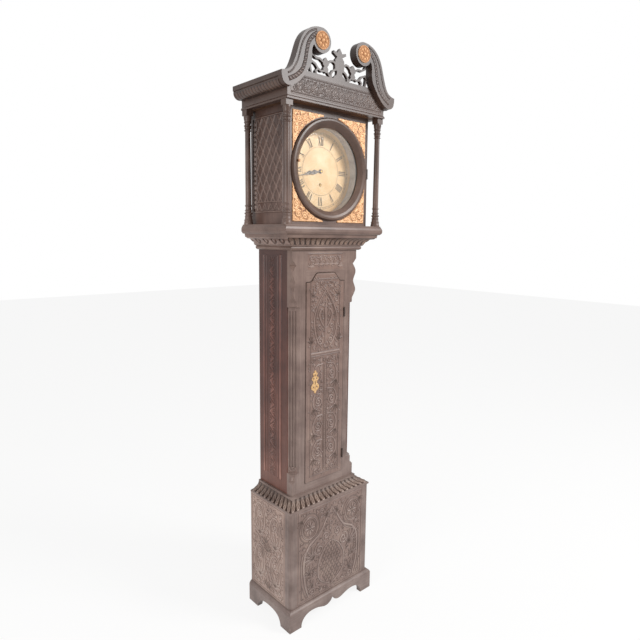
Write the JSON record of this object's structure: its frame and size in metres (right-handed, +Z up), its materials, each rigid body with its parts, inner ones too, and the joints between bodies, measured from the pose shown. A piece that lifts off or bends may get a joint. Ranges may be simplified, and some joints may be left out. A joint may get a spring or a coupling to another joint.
{
  "type": "longcase clock",
  "caption": "Tall carved wooden longcase clock with a sliding hood, swan-neck pediment, round glazed dial, hinged trunk door, weight, pendulum and geared movement.",
  "frame": {"origin": "centre of the overall footprint, on the floor", "axes": "+Z up, -Y out of the front with the dial and the door, +X to the viewer's right"},
  "size_m": [0.53, 0.291, 2.15],
  "materials": {
    "oak": "carved and stained oak, waxed",
    "inner_wood": "plain sawn softwood",
    "brass": "polished brass",
    "gilt": "gilt pressed brass",
    "steel": "polished and blued steel",
    "dial_paint": "cream enamel paint",
    "silvered": "silvered brass",
    "weight_iron": "bare cast iron",
    "gut": "twisted gut",
    "glass": "clear window glass"
  },
  "bodies": {
    "case": {"backboard": "inner_wood", "base_floor": "inner_wood", "base_front_panel": "oak", "base_side_panels": "oak", "base_corner_posts": "oak", "plinth_skirt": "oak", "base_top_moulding": "oak", "trunk_sides": "oak", "trunk_stiles": "oak", "trunk_rails": "oak", "throat_moulding": "oak", "hood_runners": "inner_wood", "seatboard": "inner_wood", "movement_back_plate": "brass", "movement_front_plate": "brass", "movement_pillars": "brass", "back_cock": "brass", "dial_plate": "dial_paint", "dial_collar": "silvered", "door_hinge_posts": "steel", "gut_line": "gut"},
    "hood": {"hood_base_frame": "oak", "hood_sides": "oak", "hood_front_panel": "oak", "hood_top_board": "inner_wood", "hood_frieze": "oak", "cornice_moulding": "oak", "swan_neck_left": "oak", "swan_neck_right": "oak", "rosettes": "gilt", "crest_fretwork": "oak", "hood_columns": "oak", "corner_spandrels": "gilt", "bezel_hinge_fixed_leaf": "steel"},
    "bezel": {"bezel_ring": "oak", "bezel_glass": "glass", "bezel_hinge_leaf": "steel"},
    "catch": {"bezel_catch": "gilt"},
    "door": {"trunk_door": "oak", "key_escutcheon": "gilt", "lock_case": "steel", "door_hinge_leaves": "steel"},
    "bolt": {"lock_bolt": "steel"},
    "centre": {"centre_wheel": "brass", "cannon_pinion": "brass", "minute_hand": "steel"},
    "hour": {"hour_wheel": "brass", "hour_hand": "steel"},
    "motion_wheel": {"minute_wheel": "brass"},
    "great": {"great_wheel": "brass"},
    "third": {"third_wheel": "brass"},
    "escape": {"escape_wheel": "brass"},
    "barrel": {"winding_barrel": "brass"},
    "driving_weight": {"weight": "weight_iron", "pulley_stirrup": "brass"},
    "pulley": {"line_pulley": "brass"},
    "pendulum": {"pendulum_rod": "steel", "pendulum_bob": "brass", "rating_nut": "brass"},
    "pallets": {"pallet_anchor": "steel"}
  },
  "joints": [
    {"name": "hood_slide", "type": "slide", "parent": "case", "child": "hood", "axis": [0, -1, 0], "range_m": [0, 0.3]},
    {"name": "bezel_hinge", "type": "hinge", "parent": "hood", "child": "bezel", "pos_m": [0.1816, -0.083, 1.712], "axis": [0, 0, 1], "range_deg": [0, 110]},
    {"name": "bezel_catch_turn", "type": "hinge", "parent": "bezel", "child": "catch", "pos_m": [-0.154, -0.0695, 1.731], "axis": [0, 1, 0], "range_deg": [0, 90]},
    {"name": "trunk_door_hinge", "type": "hinge", "parent": "case", "child": "door", "pos_m": [0.0955, -0.0633, 0.9025], "axis": [0, 0, 1], "range_deg": [0, 105]},
    {"name": "lock_bolt_slide", "type": "slide", "parent": "door", "child": "bolt", "axis": [-1, 0, 0], "range_m": [0, 0.008]},
    {"name": "minute_turn", "type": "hinge", "parent": "case", "child": "centre", "pos_m": [0, 0.0305, 1.712], "axis": [0, 1, 0], "continuous": true},
    {"name": "hour_turn", "type": "hinge", "parent": "case", "child": "hour", "pos_m": [0, 0.0305, 1.712], "axis": [0, 1, 0], "continuous": true},
    {"name": "minute_wheel_turn", "type": "hinge", "parent": "case", "child": "motion_wheel", "pos_m": [0.032, 0.0305, 1.712], "axis": [0, 1, 0], "continuous": true},
    {"name": "great_wheel_turn", "type": "hinge", "parent": "case", "child": "great", "pos_m": [0, 0.0305, 1.664], "axis": [0, 1, 0], "continuous": true},
    {"name": "third_wheel_turn", "type": "hinge", "parent": "case", "child": "third", "pos_m": [0.0103, 0.0305, 1.739], "axis": [0, 1, 0], "continuous": true},
    {"name": "escape_wheel_turn", "type": "hinge", "parent": "case", "child": "escape", "pos_m": [0, 0.0305, 1.762], "axis": [0, 1, 0], "continuous": true},
    {"name": "weight_fall", "type": "slide", "parent": "case", "child": "driving_weight", "axis": [0, 0, -1], "range_m": [-0.59, 0.59], "deforming": ["gut_line"]},
    {"name": "barrel_wind", "type": "hinge", "parent": "case", "child": "barrel", "pos_m": [0, 0.0305, 1.664], "axis": [0, 1, 0], "range_deg": [-2880, 2880]},
    {"name": "pulley_spin", "type": "hinge", "parent": "driving_weight", "child": "pulley", "pos_m": [0, 0.0305, 0.97], "axis": [0, 1, 0], "range_deg": [-1440, 1440]},
    {"name": "pendulum_swing", "type": "hinge", "parent": "case", "child": "pendulum", "pos_m": [0, 0.0785, 1.79028], "axis": [0, 1, 0], "range_deg": [-3, 3]},
    {"name": "pallet_rock", "type": "hinge", "parent": "case", "child": "pallets", "pos_m": [0, 0.0305, 1.79028], "axis": [0, 1, 0], "range_deg": [-3, 3]}
  ],
  "couplings": [
    {"joint": "hour_turn", "follows": "minute_turn", "ratio": 0.083333},
    {"joint": "minute_wheel_turn", "follows": "minute_turn", "ratio": -1},
    {"joint": "great_wheel_turn", "follows": "minute_turn", "ratio": -0.083333},
    {"joint": "third_wheel_turn", "follows": "minute_turn", "ratio": -7.5},
    {"joint": "escape_wheel_turn", "follows": "minute_turn", "ratio": 60},
    {"joint": "barrel_wind", "follows": "weight_fall", "rad_per_m": -82.988},
    {"joint": "pulley_spin", "follows": "weight_fall", "rad_per_m": -41.494},
    {"joint": "pallet_rock", "follows": "pendulum_swing", "ratio": 1}
  ]
}
